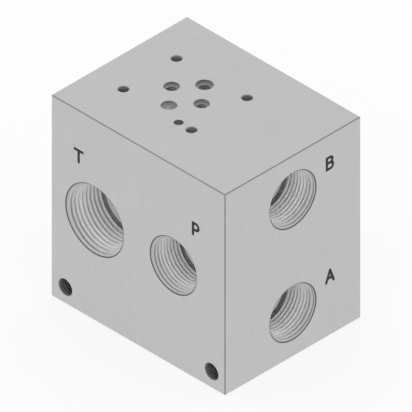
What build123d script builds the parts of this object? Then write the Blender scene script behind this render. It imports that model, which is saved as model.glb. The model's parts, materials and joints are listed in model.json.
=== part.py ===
from build123d import *
import os
from math import radians, tan

# Hydraulic manifold block for one size 3 directional valve (ISO 4401-03), in millimetres.
# It is one machined block with four separate oil circuits, P, T, A and B. Each runs from a tapped pipe
# port in a side of the block to its own port under the valve on top.
# X runs to the right along the front face, Y to the back and Z up. The origin is the centre of the base.

INCH = 25.4

# The block
LENGTH = 4.0 * INCH
DEPTH = 3.125 * INCH
HEIGHT = 4.0 * INCH
EDGE_BREAK = 0.4

# Every hole
DRILL_POINT = 118
MOUTH_BREAK = 0.3

# Pipe port T in the front face, 1 in NPTF
T_FROM_LEFT = 1.0 * INCH
T_HEIGHT = 2.0 * INCH
T_THREAD_RADIUS = 33.4 / 2
T_THREAD_DEPTH = 19.2
T_TAP_RADIUS = 29.37 / 2
T_TAP_DEPTH = 20.3

# Pipe ports P in the front face, and A and B in the right face, 3/4 in NPTF
PORT_THREAD_RADIUS = 26.67 / 2
PORT_THREAD_DEPTH = 15.9
PORT_TAP_RADIUS = 23.4 / 2
PORT_TAP_DEPTH = 17.0
P_FROM_RIGHT = 1.19 * INCH
P_HEIGHT = 2.0 * INCH
A_HEIGHT = 0.875 * INCH
B_FROM_TOP = 0.875 * INCH

# Valve pattern on the top face, in the standard's own frame: x to the right and y to the front,
# both from the first screw hole, which is the back left one
PATTERN_FROM_LEFT = 18.05
PATTERN_SCREWS = ((0.0, 0.0), (40.5, -0.75), (40.5, 31.75), (0.0, 31.0))
PATTERN_P = (21.5, 25.9)
PATTERN_T = (21.5, 5.1)
PATTERN_A = (12.7, 15.5)
PATTERN_B = (30.2, 15.5)
PATTERN_PIN = (33.0, 31.75)
PATTERN_MIDLINE = 15.5

# Valve ports: each is a shallow counterbore, and a drilling leaves from its floor
VALVE_PORT_RADIUS = 6.7 / 2
VALVE_PORT_DEPTH = 2.2
VALVE_PORT_T_RADIUS = 7.5 / 2
VALVE_PORT_T_DEPTH = 2.35
DRILLING_RADIUS = 3 / 16 * INCH / 2
T_DRILLING_RADIUS = 7 / 32 * INCH / 2

# Tapped holes for the valve's screws, #10-24 UNC, and the hole for its locating pin
SCREW_THREAD_RADIUS = 4.826 / 2
SCREW_THREAD_DEPTH = 12.7
SCREW_TAP_RADIUS = 3.797 / 2
SCREW_TAP_DEPTH = 14.3
PIN_HOLE_RADIUS = 4.0 / 2
PIN_HOLE_DEPTH = 6.4

# Two tapped holes that fix the block, low in the front face, 5/16-18 UNC
FIXING_INSET = 8.1
FIXING_THREAD_RADIUS = 7.938 / 2
FIXING_THREAD_DEPTH = 16.0
FIXING_TAP_RADIUS = 6.53 / 2
FIXING_TAP_DEPTH = 19.0

# Galleries behind the pipe ports, and where the drillings from the valve meet them. A gallery or link
# runs on a little past the drilling that it meets.
P_GALLERY_RADIUS = 9.5
P_GALLERY_DEPTH = 26.7
P_BREAK_IN_DEPTH = 22.0
P_OVERRUN = 6.0
SIDE_GALLERY_RADIUS = 6.35
A_LEAN = 6.0
T_LINK_RADIUS = 4.0
T_LINK_CLEARANCE = 0.2
RUN_ON = 1.0

# Places that follow from these sizes
LEFT_X, RIGHT_X = -LENGTH / 2, LENGTH / 2
FRONT_Y = -DEPTH / 2
T_X = LEFT_X + T_FROM_LEFT
P_X = RIGHT_X - P_FROM_RIGHT
B_HEIGHT = HEIGHT - B_FROM_TOP


def on_front(x, z):
    """The front face's plane at this point, looking out of the block."""
    return Plane(origin=(x, FRONT_Y, z), x_dir=(1, 0, 0), z_dir=(0, -1, 0))


def on_right(z):
    """The right face's plane at this height, midway between front and back, looking out of the block."""
    return Plane(origin=(RIGHT_X, 0, z), x_dir=(0, 1, 0), z_dir=(1, 0, 0))


def on_top(pattern_point):
    """The top face's plane at a point of the valve pattern, looking out of the block."""
    x, y = pattern_point
    return Plane(origin=(LEFT_X + PATTERN_FROM_LEFT + x, PATTERN_MIDLINE - y, HEIGHT), z_dir=(0, 0, 1))


def point_length(radius):
    """How far a drill of this radius reaches past its full diameter."""
    return radius / tan(radians(DRILL_POINT / 2))


def bored_hole(mouth, *steps, pointed=True):
    """Cutter for a round hole into the block from its mouth's plane, with a deburred edge.

    Each step is a radius and the depth that it ends at. The last one ends in the drill's point,
    or in a flat floor if it isn't pointed.
    """
    first_radius = steps[0][0]
    outline = [(0, MOUTH_BREAK), (first_radius + 2 * MOUTH_BREAK, MOUTH_BREAK)]
    level = -MOUTH_BREAK
    for radius, depth in steps:
        outline += [(radius, level), (radius, -depth)]
        level = -depth
    last_radius = steps[-1][0]
    outline.append((0, level - point_length(last_radius) if pointed else level))
    section = make_face(Plane.XZ * Polyline(*outline, close=True))
    return mouth * revolve(section, Axis.Z)


def drilling(start, end, radius):
    """Cutter for a straight drilling inside the block, at its full radius from start to end."""
    along = Plane(origin=start, z_dir=end - start)
    length = (end - start).length
    point = point_length(radius)
    bore = Pos(0, 0, length / 2) * Cylinder(radius, length)
    tip = Pos(0, 0, length + point / 2) * Cone(radius, 0, point)
    return along * (bore + tip)


def valve_port(pattern_point, radius=VALVE_PORT_RADIUS, depth=VALVE_PORT_DEPTH):
    """A valve port's counterbore, and the point halfway down it that its drilling starts from."""
    mouth = on_top(pattern_point)
    return bored_hole(mouth, (radius, depth), pointed=False), mouth.origin - Vector(0, 0, depth / 2)


def pipe_port(mouth, *gallery):
    """A 3/4 in pipe port: thread, tap drill and its point, with a narrower gallery bored on from it."""
    port = bored_hole(
        mouth, (PORT_THREAD_RADIUS, PORT_THREAD_DEPTH), (PORT_TAP_RADIUS, PORT_TAP_DEPTH)
    )
    return port + bored_hole(mouth, gallery)


def circuit_p():
    """Front port P. Its valve drilling slants down to break into the left wall of the port's gallery."""
    port = pipe_port(on_front(P_X, P_HEIGHT), P_GALLERY_RADIUS, P_GALLERY_DEPTH)
    mouth, start = valve_port(PATTERN_P)
    break_in = Vector(P_X - P_GALLERY_RADIUS, FRONT_Y + P_BREAK_IN_DEPTH, P_HEIGHT)
    end = break_in + (break_in - start).normalized() * P_OVERRUN
    return port + mouth + drilling(start, end, DRILLING_RADIUS)


def circuit_t():
    """Front port T. Its valve drilling goes straight down to a link drilled through the port's mouth."""
    port = bored_hole(
        on_front(T_X, T_HEIGHT), (T_THREAD_RADIUS, T_THREAD_DEPTH), (T_TAP_RADIUS, T_TAP_DEPTH)
    )
    mouth, start = valve_port(PATTERN_T, VALVE_PORT_T_RADIUS, VALVE_PORT_T_DEPTH)
    foot = Vector(start.X, start.Y, T_HEIGHT)
    link_x = T_X + T_TAP_RADIUS - T_LINK_RADIUS - T_LINK_CLEARANCE
    link_start = Vector(link_x, FRONT_Y + T_THREAD_DEPTH, T_HEIGHT)
    link_end = foot + (foot - link_start).normalized() * (T_DRILLING_RADIUS + RUN_ON)
    return port + mouth + drilling(start, foot, T_DRILLING_RADIUS) + drilling(link_start, link_end, T_LINK_RADIUS)


def side_circuit(pattern_point, height, lean):
    """Right port A or B. Its gallery runs under the valve, where its drilling comes down to it.

    The drilling's foot leans to the left by this much.
    """
    mouth, start = valve_port(pattern_point)
    foot = Vector(start.X - lean, start.Y, height)
    gallery_depth = RIGHT_X - foot.X + DRILLING_RADIUS + RUN_ON
    port = pipe_port(on_right(height), SIDE_GALLERY_RADIUS, gallery_depth)
    return port + mouth + drilling(start, foot, DRILLING_RADIUS)


def valve_fixings():
    """The four tapped holes for the valve's screws, and the hole for its locating pin."""
    screws = [
        bored_hole(
            on_top(place), (SCREW_THREAD_RADIUS, SCREW_THREAD_DEPTH), (SCREW_TAP_RADIUS, SCREW_TAP_DEPTH)
        )
        for place in PATTERN_SCREWS
    ]
    return screws + [bored_hole(on_top(PATTERN_PIN), (PIN_HOLE_RADIUS, PIN_HOLE_DEPTH))]


def block_fixings():
    """The two tapped holes that fix the block, in the lower corners of the front face."""
    return [
        bored_hole(
            on_front(x, FIXING_INSET),
            (FIXING_THREAD_RADIUS, FIXING_THREAD_DEPTH),
            (FIXING_TAP_RADIUS, FIXING_TAP_DEPTH),
        )
        for x in (LEFT_X + FIXING_INSET, RIGHT_X - FIXING_INSET)
    ]


def manifold_block():
    """The whole block, with its outer edges broken."""
    blank = Pos(0, 0, HEIGHT / 2) * Box(LENGTH, DEPTH, HEIGHT)
    blank = chamfer(blank.edges(), EDGE_BREAK)
    circuits = [
        circuit_p(),
        circuit_t(),
        side_circuit(PATTERN_A, A_HEIGHT, A_LEAN),
        side_circuit(PATTERN_B, B_HEIGHT, 0),
    ]
    return blank - circuits - valve_fixings() - block_fixings()


os.makedirs("parts", exist_ok=True)
block = manifold_block()
block.label = "manifold_block"
export_step(block, "parts/manifold_block.step")
print(f"manifold_block: {block.volume:.0f} mm3, {len(block.faces())} faces")
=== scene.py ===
"""Finishes a hydraulic manifold block and sets up its studio."""

import json
from math import cos, pi, radians, sin

import bpy
from bpy.props import FloatProperty, FloatVectorProperty, IntProperty, PointerProperty
from bpy.types import NodeSocket, Operator, Panel, PropertyGroup
from mathutils import Matrix, Vector


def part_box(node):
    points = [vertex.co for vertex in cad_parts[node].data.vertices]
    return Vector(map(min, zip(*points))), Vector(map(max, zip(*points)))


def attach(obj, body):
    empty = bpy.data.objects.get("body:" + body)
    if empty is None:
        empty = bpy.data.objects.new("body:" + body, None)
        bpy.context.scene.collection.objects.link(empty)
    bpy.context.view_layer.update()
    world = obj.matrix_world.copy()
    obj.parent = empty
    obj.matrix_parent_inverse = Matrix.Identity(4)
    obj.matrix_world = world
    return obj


bl_info = {
    "name": "Hydraulic Manifold Block",
    "version": (1, 0, 0),
    "blender": (4, 5, 0),
    "location": "View3D > Sidebar > Manifold",
    "description": "Machined finish, cut threads, port letters and studio for a manifold block",
    "category": "Object",
}

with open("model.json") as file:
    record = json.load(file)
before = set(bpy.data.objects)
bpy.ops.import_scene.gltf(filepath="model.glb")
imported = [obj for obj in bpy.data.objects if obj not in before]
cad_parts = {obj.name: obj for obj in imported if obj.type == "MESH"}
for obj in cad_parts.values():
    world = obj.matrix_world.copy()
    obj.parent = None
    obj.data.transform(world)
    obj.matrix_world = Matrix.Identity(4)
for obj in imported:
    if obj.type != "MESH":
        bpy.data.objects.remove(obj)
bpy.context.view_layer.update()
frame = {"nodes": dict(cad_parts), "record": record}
BLOCK = "manifold_block"
BLOCK_LOW, BLOCK_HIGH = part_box(BLOCK)
BLOCK_CENTRE = (BLOCK_LOW + BLOCK_HIGH) / 2
BLOCK_HALF = (BLOCK_HIGH - BLOCK_LOW) / 2
MOUNTS = {mount["name"]: mount for mount in frame["record"]["mounts"]}

# Every hole's mouth is broken by this much
MOUTH_BREAK = 0.0003

# The screw holes of the valve pattern lie this far from its middle line, left pair and right pair
VALVE_SCREW_LEFT_Y = 0.0155
VALVE_SCREW_RIGHT_Y = 0.01625

# Depths below the faces between which the shader turns from face to hole wall
WALL_START = 0.0001
WALL_END = 0.0003

# A face looks along an axis if its normal's part along that axis is more than this
FACING = 0.7

# Depth over which plain bores turn from dull to bright, and the share of their bright depth from
# which they turn to the deep colour
# The bright colour of the bores is painted light
BORE_CHANGE = 0.0003
BRIGHT_END = 0.95

# Pipe threads are mostly non-metallic, which keeps their roots from going dark
PIPE_THREAD_METALLIC = 0.1

# Noise scales of the handling marks, the share of the grain in their tone, and how strongly they
# show in each metal and in the letters
GRAIN_SCALE = 1400.0
CLOUD_SCALE = 30.0
HAIRLINE_SCALE = (55.0, 900.0, 900.0)
GRAIN_SHARE = 0.35
HANDLED_FACES = 0.08
HANDLED_THREADS = 0.05
HANDLED_LETTERS = 0.5

# How far the roughness of threads goes up and down with the handling marks
THREAD_UNEVENNESS = 0.06


# Settings that a user would change

class FinishSettings(PropertyGroup):
    """Finish of the bare metal, with light and shade painted into its holes and dark shade lines
    painted along its edges.
    """

    metal_colour: FloatVectorProperty(
        name="Metal colour", description="Colour of the machined faces",
        subtype="COLOR", size=3, min=0, max=1, default=(0.53, 0.53, 0.533))
    # Painted shade: a dark ring is painted round each side port's mouth as an outline; the real
    # broken mouth is as bright as the face
    ring_shade_colour: FloatVectorProperty(
        name="Ring shade colour", description="Colour of the broken mouths of the side ports",
        subtype="COLOR", size=3, min=0, max=1, default=(0.12, 0.12, 0.122))
    mouth_colour: FloatVectorProperty(
        name="Mouth colour", description="Colour of the hole walls next to the faces",
        subtype="COLOR", size=3, min=0, max=1, default=(0.53, 0.53, 0.533))
    # Painted shade: the lead-in cones are painted darker than the face
    lead_shade_colour: FloatVectorProperty(
        name="Lead-in shade colour", description="Colour of the cones that lead into the pipe threads",
        subtype="COLOR", size=3, min=0, max=1, default=(0.42, 0.42, 0.423))
    # Painted light: the walls further in and the pipe threads are painted much brighter than the
    # face metal, against the shade inside the holes
    bore_light_colour: FloatVectorProperty(
        name="Bore light colour",
        description="Colour of the hole walls further in, and of the pipe threads",
        subtype="COLOR", size=3, min=0, max=1, default=(0.94, 0.94, 0.943))
    deep_colour: FloatVectorProperty(
        name="Deep colour", description="Colour of the drilled walls behind the threads",
        subtype="COLOR", size=3, min=0, max=1, default=(0.56, 0.56, 0.565))
    # Painted shade: the small tapped holes are painted dark all through, for the shade inside them
    screw_hole_shade_colour: FloatVectorProperty(
        name="Screw hole shade colour", description="Colour of the valve screw threads",
        subtype="COLOR", size=3, min=0, max=1, default=(0.23, 0.23, 0.234))
    fixing_hole_shade_colour: FloatVectorProperty(
        name="Fixing hole shade colour", description="Colour of the fixing threads",
        subtype="COLOR", size=3, min=0, max=1, default=(0.13, 0.13, 0.133))
    # The bright colour that the hole walls and pipe threads turn to at these depths is painted
    # light
    mouth_depth: FloatProperty(
        name="Mouth depth", description="Depth at which the hole walls turn from darker to painted-light bright",
        unit="LENGTH", precision=4, default=0.0024)
    thread_change: FloatProperty(
        name="Thread change",
        description="Depth over which the pipe threads turn from darker to painted-light bright",
        unit="LENGTH", precision=4, default=0.006)
    deep_depth: FloatProperty(
        name="Deep depth", description="Depth at which the bright hole walls end",
        unit="LENGTH", precision=4, default=0.0052)
    # Painted shade: the broken edges are painted dark as outline lines; on the real block they are
    # bright
    edge_shade_colour: FloatVectorProperty(
        name="Edge shade colour", description="Colour of the broken edges and hole mouths",
        subtype="COLOR", size=3, min=0, max=1, default=(0.26, 0.26, 0.264))
    face_roughness: FloatProperty(
        name="Face roughness", description="Roughness of the milled faces",
        subtype="FACTOR", min=0, max=1, default=0.42)
    bore_roughness: FloatProperty(
        name="Bore roughness", description="Roughness of drilled and tapped walls",
        subtype="FACTOR", min=0, max=1, default=0.5)
    # Reach of the dark shade lines painted along the broken edges
    edge_width: FloatProperty(
        name="Edge shade width",
        description="Reach of the block's broken edges in from the faces beside them",
        unit="LENGTH", precision=5, default=0.00041)
    # Width of the dark shade ring painted round the side ports' mouths
    mouth_shade_width: FloatProperty(
        name="Mouth shade width",
        description="Width of the painted dark shade ring round the broken mouths of side ports",
        unit="LENGTH", precision=5, default=0.00018)
    cutter_radius: FloatProperty(
        name="Cutter radius", description="Radius of the arcs that the face mill leaves",
        unit="LENGTH", precision=4, default=0.038)
    feed: FloatProperty(
        name="Feed", description="Distance between two arcs of the face mill",
        unit="LENGTH", precision=5, default=0.0009)
    ring_pitch: FloatProperty(
        name="Ring pitch", description="Distance between tool rings in the drilled walls",
        unit="LENGTH", precision=5, default=0.0004)


class ThreadSettings(PropertyGroup):
    """Sizes of the cut threads."""

    large_pitch: FloatProperty(
        name="Large pipe pitch", description="Pitch of the 1 in pipe thread in port T",
        unit="LENGTH", precision=6, default=0.0254 / 11.5)
    large_height: FloatProperty(
        name="Large pipe height", description="Height of the 1 in pipe thread over the wall",
        unit="LENGTH", precision=5, default=0.0016)
    small_pitch: FloatProperty(
        name="Small pipe pitch", description="Pitch of the 3/4 in pipe threads",
        unit="LENGTH", precision=6, default=0.0254 / 14)
    small_height: FloatProperty(
        name="Small pipe height", description="Height of the 3/4 in pipe threads over the wall",
        unit="LENGTH", precision=5, default=0.00132)
    screw_pitch: FloatProperty(
        name="Valve screw pitch", description="Pitch of the #10-24 threads",
        unit="LENGTH", precision=6, default=0.0254 / 24)
    screw_height: FloatProperty(
        name="Valve screw height", description="Height of the #10-24 threads over the wall",
        unit="LENGTH", precision=5, default=0.0005)
    screw_depth: FloatProperty(
        name="Valve screw depth", description="Depth of the #10-24 threads from the top face",
        unit="LENGTH", precision=4, default=0.0124)
    fixing_pitch: FloatProperty(
        name="Fixing pitch", description="Pitch of the 5/16-18 threads",
        unit="LENGTH", precision=6, default=0.0254 / 18)
    fixing_height: FloatProperty(
        name="Fixing height", description="Height of the 5/16-18 threads over the wall",
        unit="LENGTH", precision=5, default=0.00068)
    fixing_depth: FloatProperty(
        name="Fixing depth", description="Depth of the 5/16-18 threads from the front face",
        unit="LENGTH", precision=4, default=0.0157)
    steps: IntProperty(
        name="Steps", description="Segments in one turn of a thread", min=16, default=64)


class LetterSettings(PropertyGroup):
    """Sizes of the letters beside the pipe ports."""

    height: FloatProperty(
        name="Height", description="Height of a letter between the centres of its strokes",
        unit="LENGTH", precision=5, default=0.00575)
    stroke: FloatProperty(
        name="Stroke", description="Width that the engraving cutter leaves",
        unit="LENGTH", precision=5, default=0.00142)
    relief: FloatProperty(
        name="Relief", description="How far the fill stands proud of the face",
        unit="LENGTH", precision=6, default=0.00004)
    colour: FloatVectorProperty(
        name="Colour", description="Colour of the fill",
        subtype="COLOR", size=3, min=0, max=1, default=(0.02, 0.02, 0.021))


class StageSettings(PropertyGroup):
    """Camera, floor and lamps."""

    azimuth: FloatProperty(
        name="Azimuth", description="Camera's angle round the block from the front",
        subtype="ANGLE", default=radians(45))
    elevation: FloatProperty(
        name="Elevation", description="Camera's angle above the floor",
        subtype="ANGLE", default=radians(35.264))
    view_width: FloatProperty(
        name="View width", description="Width that the camera takes in",
        unit="LENGTH", precision=4, default=0.1702)
    distance: FloatProperty(
        name="Distance", description="Distance of the camera from the block",
        unit="LENGTH", default=1.2)
    floor_size: FloatProperty(
        name="Floor size", description="Side of the floor", unit="LENGTH", default=12.0)
    shadow: FloatProperty(
        name="Shadow", description="How much of the block's shadow the white floor shows",
        subtype="FACTOR", min=0, max=1, default=0.2)
    sky: FloatProperty(
        name="Sky", description="Strength of the even light from all round", min=0, default=1.0)
    lamp: FloatProperty(
        name="Lamp", description="Power of the large soft lamp above",
        unit="POWER", min=0, default=0.5)


GROUPS = {
    "manifold_finish": FinishSettings,
    "manifold_threads": ThreadSettings,
    "manifold_letters": LetterSettings,
    "manifold_stage": StageSettings,
}


# Modelling helpers

def deselect():
    bpy.ops.object.select_all(action="DESELECT")


def select_only(*pieces):
    """Selects these objects alone, and makes the first one active."""
    deselect()
    for piece in pieces:
        piece.select_set(True)
    bpy.context.view_layer.objects.active = pieces[0]


def edit_all(piece):
    """Enters edit mode with all of a piece selected."""
    select_only(piece)
    bpy.ops.object.mode_set(mode="EDIT")
    bpy.ops.mesh.select_all(action="SELECT")


def finish_modifier(piece, kind, **settings):
    """Adds a modifier to a piece and applies it."""
    select_only(piece)
    modifier = piece.modifiers.new(kind.title(), kind)
    for setting, value in settings.items():
        setattr(modifier, setting, value)
    bpy.ops.object.modifier_apply(modifier=modifier.name)


def edit_vertices(piece, chosen):
    """Enters edit mode with only those vertices selected whose place passes the test."""
    select_only(piece)
    bpy.ops.object.mode_set(mode="EDIT")
    bpy.ops.mesh.select_mode(type="VERT")
    bpy.ops.mesh.select_all(action="DESELECT")
    bpy.ops.object.mode_set(mode="OBJECT")
    for vertex in piece.data.vertices:
        vertex.select = chosen(vertex.co)
    bpy.ops.object.mode_set(mode="EDIT")


def carve(piece, tool, operation):
    """Cuts a piece with a tool, and throws the tool away."""
    finish_modifier(piece, "BOOLEAN", operation=operation, object=tool, solver="EXACT")
    bpy.data.objects.remove(tool)


def settle(piece, place=None):
    """Moves a piece to its place and puts that into its mesh, its object back at the origin."""
    if place is not None:
        piece.matrix_world = place @ piece.matrix_world
    select_only(piece)
    bpy.ops.object.transform_apply(location=True, rotation=True, scale=True)


def copy_of(piece, name):
    """A copy of a piece with a mesh of its own."""
    select_only(piece)
    bpy.ops.object.duplicate(linked=False)
    twin = bpy.context.active_object
    twin.name = name
    return twin


def on_face(point, outward):
    """The place of a hole or letter on a face: +Z out of it, +Y as near upwards as it goes."""
    outward = Vector(outward).normalized()
    up = Vector((0, 1, 0)) if abs(outward.z) > 0.5 else Vector((0, 0, 1))
    across = up.cross(outward).normalized()
    turn = Matrix((across, outward.cross(across), outward)).transposed().to_4x4()
    return Matrix.Translation(point) @ turn


def on_mouth(mount):
    """The place of a mount's hole on the face that it opens in."""
    outward = Vector(mount["axis"])
    point = Vector(mount["pos_m"])
    reach = sum(abs(o) * h for o, h in zip(outward, BLOCK_HALF))
    return on_face(point + outward * (reach - (point - BLOCK_CENTRE).dot(outward)), outward)


# Shader helpers

def put(tree, kind, inputs=None, **settings):
    """Adds a node, sets it up, and fills its inputs with values or links them to sockets."""
    node = tree.nodes.new(kind)
    for setting, value in settings.items():
        setattr(node, setting, value)
    for key, value in (inputs or {}).items():
        if isinstance(value, NodeSocket):
            tree.links.new(value, node.inputs[key])
        else:
            node.inputs[key].default_value = value
    return node


def calc(tree, operation, *values, clamp=False):
    """A Math node's result."""
    return put(
        tree, "ShaderNodeMath", dict(enumerate(values)), operation=operation, use_clamp=clamp
    ).outputs[0]


def noise(tree, place, scale, detail):
    """A Noise Texture node's value at a place."""
    return put(tree, "ShaderNodeTexNoise", {
        "Vector": place, "Scale": scale, "Detail": detail}).outputs[0]


def vector_calc(tree, operation, *values):
    """A Vector Math node's result."""
    node = put(tree, "ShaderNodeVectorMath", dict(enumerate(values)), operation=operation)
    return node.outputs["Vector"]


def split(tree, vector):
    """The three parts of a vector."""
    return put(tree, "ShaderNodeSeparateXYZ", {0: vector}).outputs[:]


def combine(tree, x, y=0.0, z=0.0):
    """A vector from its three parts."""
    return put(tree, "ShaderNodeCombineXYZ", {0: x, 1: y, 2: z}).outputs[0]


def blend(tree, factor, first, second):
    """A number between two others."""
    return put(
        tree, "ShaderNodeMix", {0: factor, 2: first, 3: second}, data_type="FLOAT"
    ).outputs[0]


def blend_colour(tree, factor, first, second, blend_type="MIX"):
    """A colour between two others."""
    return put(
        tree, "ShaderNodeMix", {0: factor, 6: first, 7: second},
        data_type="RGBA", blend_type=blend_type,
    ).outputs[2]


def tinted(tree, colour, tone):
    """A colour made lighter or darker by a tone near 1."""
    return blend_colour(tree, 1.0, colour, combine(tree, tone, tone, tone), "MULTIPLY")


def add_bump(tree, shader, height, strength, distance=0.00002):
    """Gives a shader's surface fine relief."""
    bump = put(tree, "ShaderNodeBump", {
        "Strength": strength, "Distance": distance, "Height": height})
    tree.links.new(bump.outputs[0], shader["Normal"])


def ramp(tree, value, low, high, to_low=0.0, to_high=1.0):
    """A value taken from one range to another, and held there."""
    return put(
        tree, "ShaderNodeMapRange", {0: value, 1: low, 2: high, 3: to_low, 4: to_high}, clamp=True
    ).outputs[0]


def new_group(name, inputs, outputs):
    """An empty shader node group with these sockets, given as names and types."""
    tree = bpy.data.node_groups.new(name, "ShaderNodeTree")
    for label, kind in inputs:
        tree.interface.new_socket(name=label, in_out="INPUT", socket_type=f"NodeSocket{kind}")
    for label, kind in outputs:
        tree.interface.new_socket(name=label, in_out="OUTPUT", socket_type=f"NodeSocket{kind}")
    return tree, tree.nodes.new("NodeGroupInput").outputs, tree.nodes.new("NodeGroupOutput").inputs


def use_group(tree, name, inputs):
    """The outputs of a group placed in a material."""
    return put(tree, "ShaderNodeGroup", inputs, node_tree=bpy.data.node_groups[name]).outputs


def coordinates(tree):
    """Object coordinates."""
    return tree.nodes.new("ShaderNodeTexCoord").outputs["Object"]


def rgba(colour):
    return (*colour, 1.0)


def build_block_places_group():
    """Tells the block's outer faces, broken edges and hole walls apart, by place and direction, and
    finds the rings round the side ports' mouths; the edges and rings get painted dark shade lines.
    """
    tree, given, result = new_group(
        "Block Places",
        [("Edge Shade Width", "Float"), ("Mouth Shade Width", "Float")],
        [("Depth", "Float"), ("Edge", "Float"), ("Mouth", "Float"), ("Wall", "Float"),
         ("Face Vector", "Vector")],
    )
    from_centre = vector_calc(tree, "SUBTRACT", coordinates(tree), tuple(BLOCK_CENTRE))
    x_in, y_in, z_in = split(tree, vector_calc(
        tree, "SUBTRACT", tuple(BLOCK_HALF), vector_calc(tree, "ABSOLUTE", from_centre)))
    nearer = calc(tree, "MINIMUM", x_in, y_in)
    depth = calc(tree, "MINIMUM", nearer, z_in)
    # Only along the block's edges is the second nearest face near as well
    second = calc(tree, "MAXIMUM", nearer, calc(
        tree, "MINIMUM", calc(tree, "MAXIMUM", x_in, y_in), z_in))
    normal = tree.nodes.new("ShaderNodeNewGeometry").outputs["True Normal"]
    lean = split(tree, vector_calc(tree, "ABSOLUTE", normal))
    # The ring round each side port's mouth, on its broken mouth and the face round it, where a dark
    # shade ring is painted
    mouth = 0.0
    for port in "tpab":
        mount = MOUNTS[f"pipe_port_{port}"]
        place = vector_calc(
            tree, "SUBTRACT", coordinates(tree), tuple(on_mouth(mount).translation))
        off_axis = put(tree, "ShaderNodeVectorMath", {
            0: vector_calc(tree, "CROSS_PRODUCT", place, tuple(mount["axis"]))}, operation="LENGTH")
        above = put(tree, "ShaderNodeVectorMath", {0: place, 1: tuple(mount["axis"])},
                    operation="DOT_PRODUCT")
        rim = calc(tree, "ADD", given["Mouth Shade Width"], mount["dims"]["r_mm"] / 1000 + MOUTH_BREAK)
        ring = calc(tree, "MULTIPLY", calc(tree, "LESS_THAN", off_axis.outputs["Value"], rim),
                    calc(tree, "GREATER_THAN", above.outputs["Value"], -MOUTH_BREAK))
        mouth = calc(tree, "MAXIMUM", mouth, ring)
    tree.links.new(mouth, result["Mouth"])
    # The band along the block's edges, where dark shade lines are painted
    tree.links.new(calc(tree, "LESS_THAN", second, given["Edge Shade Width"]), result["Edge"])
    wall = ramp(tree, depth, WALL_START, WALL_END)
    tree.links.new(depth, result["Depth"])
    tree.links.new(wall, result["Wall"])
    # Flat coordinates in the plane of the face: the first runs along the cutter's feed
    x, y, z = split(tree, from_centre)
    on_top = calc(tree, "GREATER_THAN", lean[2], FACING)
    on_side = calc(tree, "GREATER_THAN", lean[0], FACING)
    feed = blend(tree, on_side, x, y)
    across = blend(tree, on_top, z, y)
    tree.links.new(combine(tree, feed, across), result["Face Vector"])


def build_bore_painted_tone_group():
    """The painted tone of a bored or tapped wall: the mouth colour at the mouth, a bright colour
    further in that is painted light against the holes' shade, then deep.
    """
    tree, given, result = new_group(
        "Bore Painted Light And Shade",
        [("Depth", "Float"), ("Mouth Depth", "Float"), ("Change", "Float"), ("Deep Depth", "Float"),
         ("Mouth", "Color"), ("Bright", "Color"), ("Deep", "Color")],
        [("Color", "Color")],
    )
    past_mouth = ramp(tree, given["Depth"], given["Mouth Depth"],
                      calc(tree, "ADD", given["Mouth Depth"], given["Change"]))
    past_end = ramp(tree, given["Depth"], calc(tree, "MULTIPLY", given["Deep Depth"], BRIGHT_END),
                    given["Deep Depth"])
    colour = blend_colour(tree, past_mouth, given["Mouth"], given["Bright"])
    tree.links.new(blend_colour(tree, past_end, colour, given["Deep"]), result["Color"])


def build_face_mill_group():
    """The arcs that a face mill leaves, as a height, and the slow change of tone between passes."""
    tree, given, result = new_group(
        "Face Mill Marks",
        [("Face Vector", "Vector"), ("Cutter Radius", "Float"), ("Feed", "Float")],
        [("Height", "Float"), ("Tone", "Float")],
    )
    wander = noise(tree, given["Face Vector"], 60.0, 2.0)
    feed, across, _ = split(tree, given["Face Vector"])
    chord = calc(tree, "SUBTRACT", calc(tree, "POWER", given["Cutter Radius"], 2.0),
                 calc(tree, "POWER", calc(tree, "MULTIPLY", across, 0.6), 2.0))
    arc = calc(tree, "ADD", feed, calc(tree, "SQRT", chord))
    arc = calc(tree, "ADD", arc, calc(tree, "MULTIPLY", wander, 0.0006))
    steps = calc(tree, "DIVIDE", arc, given["Feed"])
    wave = calc(tree, "SINE", calc(tree, "MULTIPLY", steps, 2 * pi))
    uneven = noise(tree, combine(tree, steps), 0.9, 3.0)
    height = calc(tree, "ADD", calc(tree, "MULTIPLY", wave, 0.3), uneven)
    tree.links.new(height, result["Height"])
    slow = noise(tree, combine(tree, calc(tree, "MULTIPLY", arc, 6.0), across), 50.0, 3.0)
    tone = calc(tree, "ADD", calc(tree, "MULTIPLY", slow, 0.6), calc(tree, "MULTIPLY", uneven, 0.4))
    tree.links.new(tone, result["Tone"])


def build_tool_rings_group():
    """Rings that drills, taps and reamers leave round a hole, by depth below the face."""
    tree, given, result = new_group(
        "Tool Rings",
        [("Depth", "Float"), ("Pitch", "Float")],
        [("Height", "Float")],
    )
    steps = calc(tree, "DIVIDE", given["Depth"], given["Pitch"])
    wave = calc(tree, "SINE", calc(tree, "MULTIPLY", steps, 2 * pi))
    uneven = noise(tree, combine(tree, steps), 1.3, 2.0)
    tree.links.new(calc(tree, "ADD", calc(tree, "MULTIPLY", wave, 0.4), uneven), result["Height"])


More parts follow.
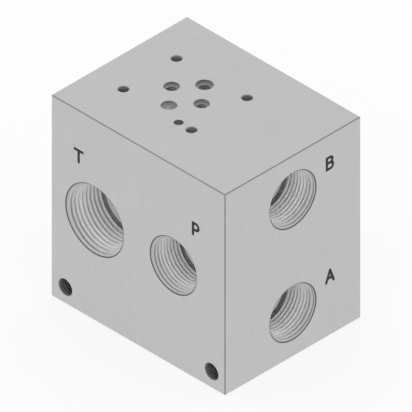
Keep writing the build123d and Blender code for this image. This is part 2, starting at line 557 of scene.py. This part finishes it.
def build_handling_group():
    """Fine grain and a few hairline scratches of bare metal that has been handled."""
    tree, given, result = new_group(
        "Handling Marks", [("Amount", "Float")], [("Tone", "Float"), ("Height", "Float")])
    place = coordinates(tree)
    grain = noise(tree, place, GRAIN_SCALE, 2.0)
    cloud = noise(tree, place, CLOUD_SCALE, 3.0)
    bent = put(tree, "ShaderNodeMapping", {
        "Vector": place, "Rotation": (0.5, 0.35, 0.8), "Scale": HAIRLINE_SCALE}).outputs[0]
    hairline = ramp(tree, noise(tree, bent, 1.0, 0.0), 0.72, 0.78)
    mix = calc(tree, "ADD", calc(tree, "MULTIPLY", grain, GRAIN_SHARE),
               calc(tree, "MULTIPLY", cloud, 1.0 - GRAIN_SHARE))
    tone = calc(tree, "MULTIPLY", calc(tree, "SUBTRACT", mix, 0.5), given["Amount"])
    tree.links.new(calc(tree, "ADD", 1.0, tone), result["Tone"])
    height = calc(tree, "SUBTRACT", calc(tree, "MULTIPLY", grain, 0.3), hairline)
    tree.links.new(height, result["Height"])


def new_material(name):
    """A material with an empty tree, a Principled shader and an output."""
    material = bpy.data.materials.new(name)
    material.use_nodes = True
    tree = material.node_tree
    tree.nodes.clear()
    shader = put(tree, "ShaderNodeBsdfPrincipled")
    put(tree, "ShaderNodeOutputMaterial", {"Surface": shader.outputs[0]})
    return material, tree, shader.inputs


def machined_metal(finish):
    """Bare aluminium, milled on its faces and drilled in its holes, with dark shade lines painted
    along its broken edges and round the side ports' mouths, and painted light inside its holes.
    """
    material, tree, shader = new_material("Machined Aluminium With Painted Light And Shade")
    depth, edge, mouth, wall, face_vector = use_group(tree, "Block Places", {
        "Edge Shade Width": finish.edge_width, "Mouth Shade Width": finish.mouth_shade_width})
    mill_height, mill_tone = use_group(tree, "Face Mill Marks", {
        "Face Vector": face_vector, "Cutter Radius": finish.cutter_radius, "Feed": finish.feed})
    ring_height, = use_group(tree, "Tool Rings", {"Depth": depth, "Pitch": finish.ring_pitch})
    tone, handling_height = use_group(tree, "Handling Marks", {"Amount": HANDLED_FACES})
    inside, = use_group(tree, "Bore Painted Light And Shade", {
        "Depth": depth, "Mouth Depth": finish.mouth_depth, "Change": BORE_CHANGE,
        "Deep Depth": finish.deep_depth,
        "Mouth": rgba(finish.mouth_colour), "Bright": rgba(finish.bore_light_colour),
        "Deep": rgba(finish.deep_colour)})
    # The hole walls take the painted light of the bore colours; the side ports' mouth rings and the
    # broken edges are painted dark shade
    colour = blend_colour(tree, wall, rgba(finish.metal_colour), inside)
    colour = blend_colour(tree, mouth, colour, rgba(finish.ring_shade_colour))
    colour = blend_colour(tree, edge, colour, rgba(finish.edge_shade_colour))
    toned = calc(tree, "MULTIPLY", tone, ramp(tree, mill_tone, 0.3, 0.7, 0.96, 1.04))
    tree.links.new(tinted(tree, colour, toned), shader["Base Color"])
    shader["Metallic"].default_value = 1.0
    rough = blend(tree, wall, finish.face_roughness, finish.bore_roughness)
    rough = calc(tree, "ADD", rough, ramp(tree, mill_tone, 0.3, 0.7, -0.04, 0.04))
    tree.links.new(rough, shader["Roughness"])
    marks = blend(tree, wall, mill_height, ring_height)
    height = calc(tree, "ADD", marks, calc(tree, "MULTIPLY", handling_height, 0.5))
    add_bump(tree, shader, height, 0.25)
    return material


def tapped_metal(name, mouth, painted_inner, metallic, finish):
    """Tapped aluminium with light and shade painted into its colour, from the colour at the mouth
    to the one further in.
    """
    material, tree, shader = new_material(name)
    depth, *_ = use_group(tree, "Block Places", {})
    inside, = use_group(tree, "Bore Painted Light And Shade", {
        "Depth": depth, "Mouth Depth": 0.0, "Change": finish.thread_change, "Deep Depth": 1.0,
        "Mouth": rgba(mouth), "Bright": rgba(painted_inner)})
    tone, height = use_group(tree, "Handling Marks", {"Amount": HANDLED_THREADS})
    tree.links.new(tinted(tree, inside, tone), shader["Base Color"])
    shader["Metallic"].default_value = metallic
    rough = ramp(tree, tone, 0.97, 1.03, finish.bore_roughness - THREAD_UNEVENNESS,
                 finish.bore_roughness + THREAD_UNEVENNESS)
    tree.links.new(rough, shader["Roughness"])
    add_bump(tree, shader, height, 0.1)
    return material


def filled_engraving(letters):
    """Dark paint in the engraved letters, matt and a little uneven."""
    material, tree, shader = new_material("Engraving Fill")
    tone, height = use_group(tree, "Handling Marks", {"Amount": HANDLED_LETTERS})
    tree.links.new(tinted(tree, rgba(letters.colour), tone), shader["Base Color"])
    shader["Specular IOR Level"].default_value = 0.3
    tree.links.new(ramp(tree, tone, 0.8, 1.2, 0.55, 0.75), shader["Roughness"])
    add_bump(tree, shader, height, 0.4, 0.00003)
    return material


# Threads

# The wire's middle lies this far into the wall, and the finished thread reaches this far into it
SINK = 0.00005
ROOT_REACH = 0.0002

# The cone that cuts the lead-in starts this far above the face
SPARE = 0.0005

# The wire's half width and its cut crest, as shares of the pitch. The trimming is sensitive to
# the first: at 0.48 and 0.495 the 1 in thread came out with an open mesh, so after a change of
# these or of the thread settings, the meshes need a look for open edges.
RIDGE_SHARE = 0.49
CREST_CUT_SHARE = 0.08

# Points nearer than this are merged after trimming, and edges flatter than the angle shade smooth
MERGE = 0.000002
SMOOTH_ANGLE = radians(80)


def thread_ridge(name, radius, height, pitch, depth, steps):
    """One internal thread about the Z axis, from the mouth at z = 0 down to its depth.

    Its ridge is a diamond wire wound into the wall, half of it sunk in the metal. A cone then cuts
    the lead-in at the mouth, and a cylinder trims both ends.
    """
    deselect()
    bpy.ops.mesh.primitive_circle_add(vertices=4, radius=1.0, rotation=(pi / 2, 0, 0))
    ridge = bpy.context.active_object
    ridge.name = name
    settle(ridge)
    # Enough turns for the wire to run out past the mouth and the end
    turns = int(depth / pitch) + 3
    crest_cut = CREST_CUT_SHARE * pitch
    edit_all(ridge)
    bpy.ops.transform.resize(value=(height + crest_cut, 1.0, RIDGE_SHARE * pitch))
    bpy.ops.transform.translate(value=(radius + SINK, 0, pitch - turns * pitch))
    bpy.ops.object.mode_set(mode="OBJECT")
    edit_vertices(ridge, lambda place: place.x < radius - height / 2)
    bpy.ops.mesh.bevel(offset=crest_cut, offset_type="DEPTH", segments=1, affect="VERTICES")
    bpy.ops.object.mode_set(mode="OBJECT")
    finish_modifier(ridge, "SCREW", axis="Z", angle=2 * pi, screw_offset=pitch, iterations=turns,
                    steps=steps, render_steps=steps, use_merge_vertices=False)
    edit_all(ridge)
    bpy.ops.mesh.fill_holes(sides=0)
    bpy.ops.mesh.normals_make_consistent(inside=False)
    bpy.ops.object.mode_set(mode="OBJECT")
    length = depth - MOUTH_BREAK
    bpy.ops.mesh.primitive_cylinder_add(
        vertices=steps, radius=radius + ROOT_REACH, depth=length,
        location=(0, 0, -MOUTH_BREAK - length / 2))
    carve(ridge, bpy.context.active_object, "INTERSECT")
    cone_height = radius + MOUTH_BREAK + SPARE
    bpy.ops.mesh.primitive_cone_add(
        vertices=2 * steps, radius1=0, radius2=cone_height, depth=cone_height,
        location=(0, 0, SPARE - cone_height / 2))
    carve(ridge, bpy.context.active_object, "DIFFERENCE")
    edit_all(ridge)
    bpy.ops.mesh.remove_doubles(threshold=MERGE)
    bpy.ops.object.mode_set(mode="OBJECT")
    bpy.ops.object.shade_smooth_by_angle(angle=SMOOTH_ANGLE)
    return ridge


def fit_threads(ridge, places, material):
    """Puts a copy of a thread in each named place, and throws the first one away."""
    for name, place in places.items():
        piece = copy_of(ridge, name)
        settle(piece, place)
        piece.data.materials.clear()
        piece.data.materials.append(material)
        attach(piece, "root")
    bpy.data.objects.remove(ridge)


class MANIFOLD_OT_pipe_threads(Operator):
    """Cuts the pipe threads into the four side ports"""

    bl_idname = "manifold.pipe_threads"
    bl_label = "Cut Pipe Threads"

    def execute(self, context):
        sizes = context.scene.manifold_threads
        finish = context.scene.manifold_finish
        # The lead-ins are painted darker as shade and the threads further in are painted bright as
        # light
        metal = tapped_metal("Pipe Thread Painted Light And Shade", finish.lead_shade_colour, finish.bore_light_colour,
                             PIPE_THREAD_METALLIC, finish)
        for ports, pitch, height in (
            ("t", sizes.large_pitch, sizes.large_height),
            ("pab", sizes.small_pitch, sizes.small_height),
        ):
            dims = MOUNTS[f"pipe_port_{ports[0]}"]["dims"]
            depth = dims["length_mm"] / 1000 + MOUTH_BREAK
            ridge = thread_ridge(
                "pipe_thread", dims["r_mm"] / 1000, height, pitch, depth, sizes.steps)
            places = {
                f"pipe_thread_{port}": on_mouth(MOUNTS[f"pipe_port_{port}"]) for port in ports}
            fit_threads(ridge, places, metal)
        return {"FINISHED"}


class MANIFOLD_OT_screw_threads(Operator):
    """Cuts the threads for the valve's screws and for the screws that fix the block"""

    bl_idname = "manifold.screw_threads"
    bl_label = "Cut Screw Threads"

    def execute(self, context):
        sizes = context.scene.manifold_threads
        finish = context.scene.manifold_finish
        # Painted shade: the valve screw and fixing threads are painted dark for the shade inside
        # their holes
        screw_shade_metal = tapped_metal("Screw Hole Painted Shade", finish.screw_hole_shade_colour,
                                   finish.screw_hole_shade_colour, 1.0, finish)
        fixing_shade_metal = tapped_metal("Fixing Hole Painted Shade", finish.fixing_hole_shade_colour,
                                    finish.fixing_hole_shade_colour, 1.0, finish)
        screws, fixings = MOUNTS["valve_screws"], MOUNTS["block_fixings"]
        ridge = thread_ridge(
            "screw_thread", screws["dims"]["hole_r_mm"] / 1000, sizes.screw_height,
            sizes.screw_pitch, sizes.screw_depth, sizes.steps // 2)
        middle = Vector(screws["pos_m"])
        half = screws["dims"]["spacing_x_mm"] / 2000
        fit_threads(ridge, {
            f"valve_screw_thread_{end}_{side}": on_face(
                middle + Vector((turn * half, back * reach, 0)), screws["axis"])
            for end, back in (("front", -1), ("back", 1))
            for side, turn, reach in (
                ("left", -1, VALVE_SCREW_LEFT_Y), ("right", 1, VALVE_SCREW_RIGHT_Y))
        }, screw_shade_metal)
        ridge = thread_ridge(
            "fixing_thread", fixings["dims"]["hole_r_mm"] / 1000, sizes.fixing_height,
            sizes.fixing_pitch, sizes.fixing_depth, sizes.steps // 2)
        middle = Vector(fixings["pos_m"])
        half = fixings["dims"]["spacing_x_mm"] / 2000
        fit_threads(ridge, {
            f"fixing_thread_{side}": on_face(middle + Vector((turn * half, 0, 0)), fixings["axis"])
            for side, turn in (("left", -1), ("right", 1))
        }, fixing_shade_metal)
        return {"FINISHED"}


# Letters

# Straight strokes in a bowl, segments round a stroke's ends, and voxels across a stroke
BOWL_STROKES = 10
BALL_SEGMENTS = 24
STROKE_VOXELS = 14

# How far each letter's middle lies from its port's axis: to the right of it, and above it
LETTER_PLACES = {
    "T": (-0.0093, 0.0276),
    "P": (0.0131, 0.0246),
    "B": (0.0216, 0.0079),
    "A": (0.0216, 0.0080),
}


def bowl(right, top, bottom):
    """The strokes of a letter's bowl, round from the stem at x = 0 and back to it."""
    radius = (top - bottom) / 2
    centre = (right - radius, (top + bottom) / 2)
    angles = [pi * i / BOWL_STROKES for i in range(BOWL_STROKES + 1)]
    round_part = [(centre[0] + radius * sin(a), centre[1] + radius * cos(a)) for a in angles]
    points = [(0, top), *round_part, (0, bottom)]
    return list(zip(points, points[1:]))


def letter_strokes():
    """The straight strokes of each letter, in letter heights, from its lower left."""
    return {
        "T": [((0, 1), (0.78, 1)), ((0.39, 1), (0.39, 0))],
        "P": [((0, 0), (0, 1)), *bowl(0.56, 1.0, 0.44)],
        "A": [((0, 0), (0.37, 1)), ((0.37, 1), (0.74, 0)), ((0.12, 0.32), (0.62, 0.32))],
        "B": [((0, 0), (0, 1)), *bowl(0.56, 1.0, 0.53), *bowl(0.62, 0.53, 0.0)],
    }


def capsule(start, end, radius):
    """A stroke with round ends: a ball with its far half drawn out to the stroke's end."""
    start, end = Vector((*start, 0)), Vector((*end, 0))
    along = end - start
    bpy.ops.mesh.primitive_uv_sphere_add(
        segments=BALL_SEGMENTS, ring_count=BALL_SEGMENTS // 2, radius=radius, location=start)
    piece = bpy.context.active_object
    settle(piece)
    edit_vertices(piece, lambda place: (place - start).dot(along) > -1e-9)
    bpy.ops.transform.translate(value=along)
    bpy.ops.object.mode_set(mode="OBJECT")
    return piece


def engraved_letter(name, strokes, letters):
    """A letter's fill: its strokes in one skin, flattened to a low crown on the face."""
    across = [x for stroke in strokes for x, _ in stroke]
    middle = (min(across) + max(across)) / 2
    pieces = []
    for stroke in strokes:
        start, end = (
            ((x - middle) * letters.height, (y - 0.5) * letters.height) for x, y in stroke)
        deselect()
        pieces.append(capsule(start, end, letters.stroke / 2))
    select_only(*pieces)
    bpy.ops.object.join()
    piece = bpy.context.active_object
    piece.name = name
    finish_modifier(piece, "REMESH", mode="VOXEL", voxel_size=letters.stroke / STROKE_VOXELS)
    edit_all(piece)
    bpy.ops.transform.resize(value=(1, 1, 2 * letters.relief / letters.stroke))
    bpy.ops.object.mode_set(mode="OBJECT")
    bpy.ops.object.shade_smooth()
    return piece


class MANIFOLD_OT_port_letters(Operator):
    """Marks the pipe ports with their letters"""

    bl_idname = "manifold.port_letters"
    bl_label = "Mark Ports"

    def execute(self, context):
        letters = context.scene.manifold_letters
        fill = filled_engraving(letters)
        for letter, strokes in letter_strokes().items():
            piece = engraved_letter(f"port_letter_{letter.lower()}", strokes, letters)
            right, above = LETTER_PLACES[letter]
            settle(piece, on_mouth(MOUNTS[f"pipe_port_{letter.lower()}"])
                   @ Matrix.Translation((right, above, 0)))
            piece.data.materials.clear()
            piece.data.materials.append(fill)
            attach(piece, "root")
        return {"FINISHED"}


# Block

class MANIFOLD_OT_block_finish(Operator):
    """Gives the block its machined finish"""

    bl_idname = "manifold.block_finish"
    bl_label = "Finish Block"

    def execute(self, context):
        build_block_places_group()
        build_bore_painted_tone_group()
        build_face_mill_group()
        build_tool_rings_group()
        build_handling_group()
        metal = machined_metal(context.scene.manifold_finish)
        for slot in frame["nodes"][BLOCK].material_slots:
            slot.material = metal
        return {"FINISHED"}


# Stage

FLOOR_COLOUR = (0.9, 0.9, 0.9, 1)
FLOOR_ROUGHNESS = 0.9
LAMP_PLACE = (-0.3, -0.3, 1.1)
LAMP_TURN = (radians(-15), radians(-15), 0)
LAMP_SIZE = 1.0


def floor_material(shadow):
    """A white floor that keeps a part of the block's shadow."""
    material, tree, shader = new_material("White Floor")
    shader["Base Color"].default_value = FLOOR_COLOUR
    shader["Roughness"].default_value = FLOOR_ROUGHNESS
    glow = put(tree, "ShaderNodeEmission", {"Color": (1, 1, 1, 1), "Strength": 1.0}).outputs[0]
    path = tree.nodes.new("ShaderNodeLightPath").outputs
    mirrored = calc(tree, "MAXIMUM", path["Is Glossy Ray"], path["Is Transmission Ray"])
    share = calc(tree, "MAXIMUM", calc(tree, "MULTIPLY", path["Is Camera Ray"], 1.0 - shadow),
                 calc(tree, "MULTIPLY", mirrored, 1.0 - shadow / 3))
    diffuse = tree.nodes["Principled BSDF"].outputs[0]
    mixed = put(tree, "ShaderNodeMixShader", {0: share, 1: diffuse, 2: glow}).outputs[0]
    tree.links.new(mixed, tree.nodes["Material Output"].inputs["Surface"])
    material.cycles.emission_sampling = "NONE"
    return material


def white_surroundings(sky):
    """An even sky, seen as white by the camera and in reflections."""
    world = bpy.data.worlds.new("White Room")
    world.use_nodes = True
    tree = world.node_tree
    tree.nodes.clear()
    path = tree.nodes.new("ShaderNodeLightPath").outputs
    seen = calc(tree, "MAXIMUM", path["Is Camera Ray"],
                calc(tree, "MAXIMUM", path["Is Glossy Ray"], path["Is Transmission Ray"]))
    strength = ramp(tree, seen, 0.0, 1.0, sky, 1.0)
    background = put(tree, "ShaderNodeBackground", {"Color": (1, 1, 1, 1), "Strength": strength})
    put(tree, "ShaderNodeOutputWorld", {"Surface": background.outputs[0]})
    bpy.context.scene.world = world


class MANIFOLD_OT_stage(Operator):
    """Sets up the camera, the white floor and the lamps"""

    bl_idname = "manifold.stage"
    bl_label = "Set Stage"

    def execute(self, context):
        stage = context.scene.manifold_stage
        context.scene.view_settings.view_transform = "Standard"
        back = Vector((sin(stage.azimuth) * cos(stage.elevation),
                       -cos(stage.azimuth) * cos(stage.elevation), sin(stage.elevation)))
        deselect()
        bpy.ops.object.camera_add(location=BLOCK_CENTRE + back * stage.distance,
                                  rotation=(-back).to_track_quat("-Z", "Y").to_euler())
        camera = context.active_object
        camera.data.type = "ORTHO"
        camera.data.ortho_scale = stage.view_width
        context.scene.camera = camera
        deselect()
        bpy.ops.mesh.primitive_plane_add(size=stage.floor_size, location=(0, 0, BLOCK_LOW.z))
        floor = context.active_object
        floor.name = "floor"
        floor.data.materials.append(floor_material(stage.shadow))
        white_surroundings(stage.sky)
        deselect()
        bpy.ops.object.light_add(type="AREA", location=LAMP_PLACE, rotation=LAMP_TURN)
        lamp = context.active_object.data
        lamp.energy = stage.lamp
        lamp.size = LAMP_SIZE
        return {"FINISHED"}


class MANIFOLD_PT_panel(Panel):
    """Manifold block steps and settings"""

    bl_label = "Manifold Block"
    bl_idname = "MANIFOLD_PT_panel"
    bl_space_type = "VIEW_3D"
    bl_region_type = "UI"
    bl_category = "Manifold"

    def draw(self, context):
        for step in STEPS:
            self.layout.operator(step.bl_idname)
        for name, group in GROUPS.items():
            settings = getattr(context.scene, name)
            box = self.layout.box()
            box.label(text=group.__doc__)
            for setting in group.__annotations__:
                box.prop(settings, setting)


STEPS = (
    MANIFOLD_OT_stage,
    MANIFOLD_OT_block_finish,
    MANIFOLD_OT_pipe_threads,
    MANIFOLD_OT_screw_threads,
    MANIFOLD_OT_port_letters,
)


def register():
    for group in GROUPS.values():
        bpy.utils.register_class(group)
    for name, group in GROUPS.items():
        setattr(bpy.types.Scene, name, PointerProperty(type=group))
    for step in (*STEPS, MANIFOLD_PT_panel):
        bpy.utils.register_class(step)


def unregister():
    for step in (MANIFOLD_PT_panel, *reversed(STEPS)):
        bpy.utils.unregister_class(step)
    for name in GROUPS:
        delattr(bpy.types.Scene, name)
    for group in reversed(GROUPS.values()):
        bpy.utils.unregister_class(group)


def main():
    register()
    bpy.ops.manifold.stage()
    bpy.ops.manifold.block_finish()
    bpy.ops.manifold.pipe_threads()
    bpy.ops.manifold.screw_threads()
    bpy.ops.manifold.port_letters()


if __name__ == "__main__":
    main()
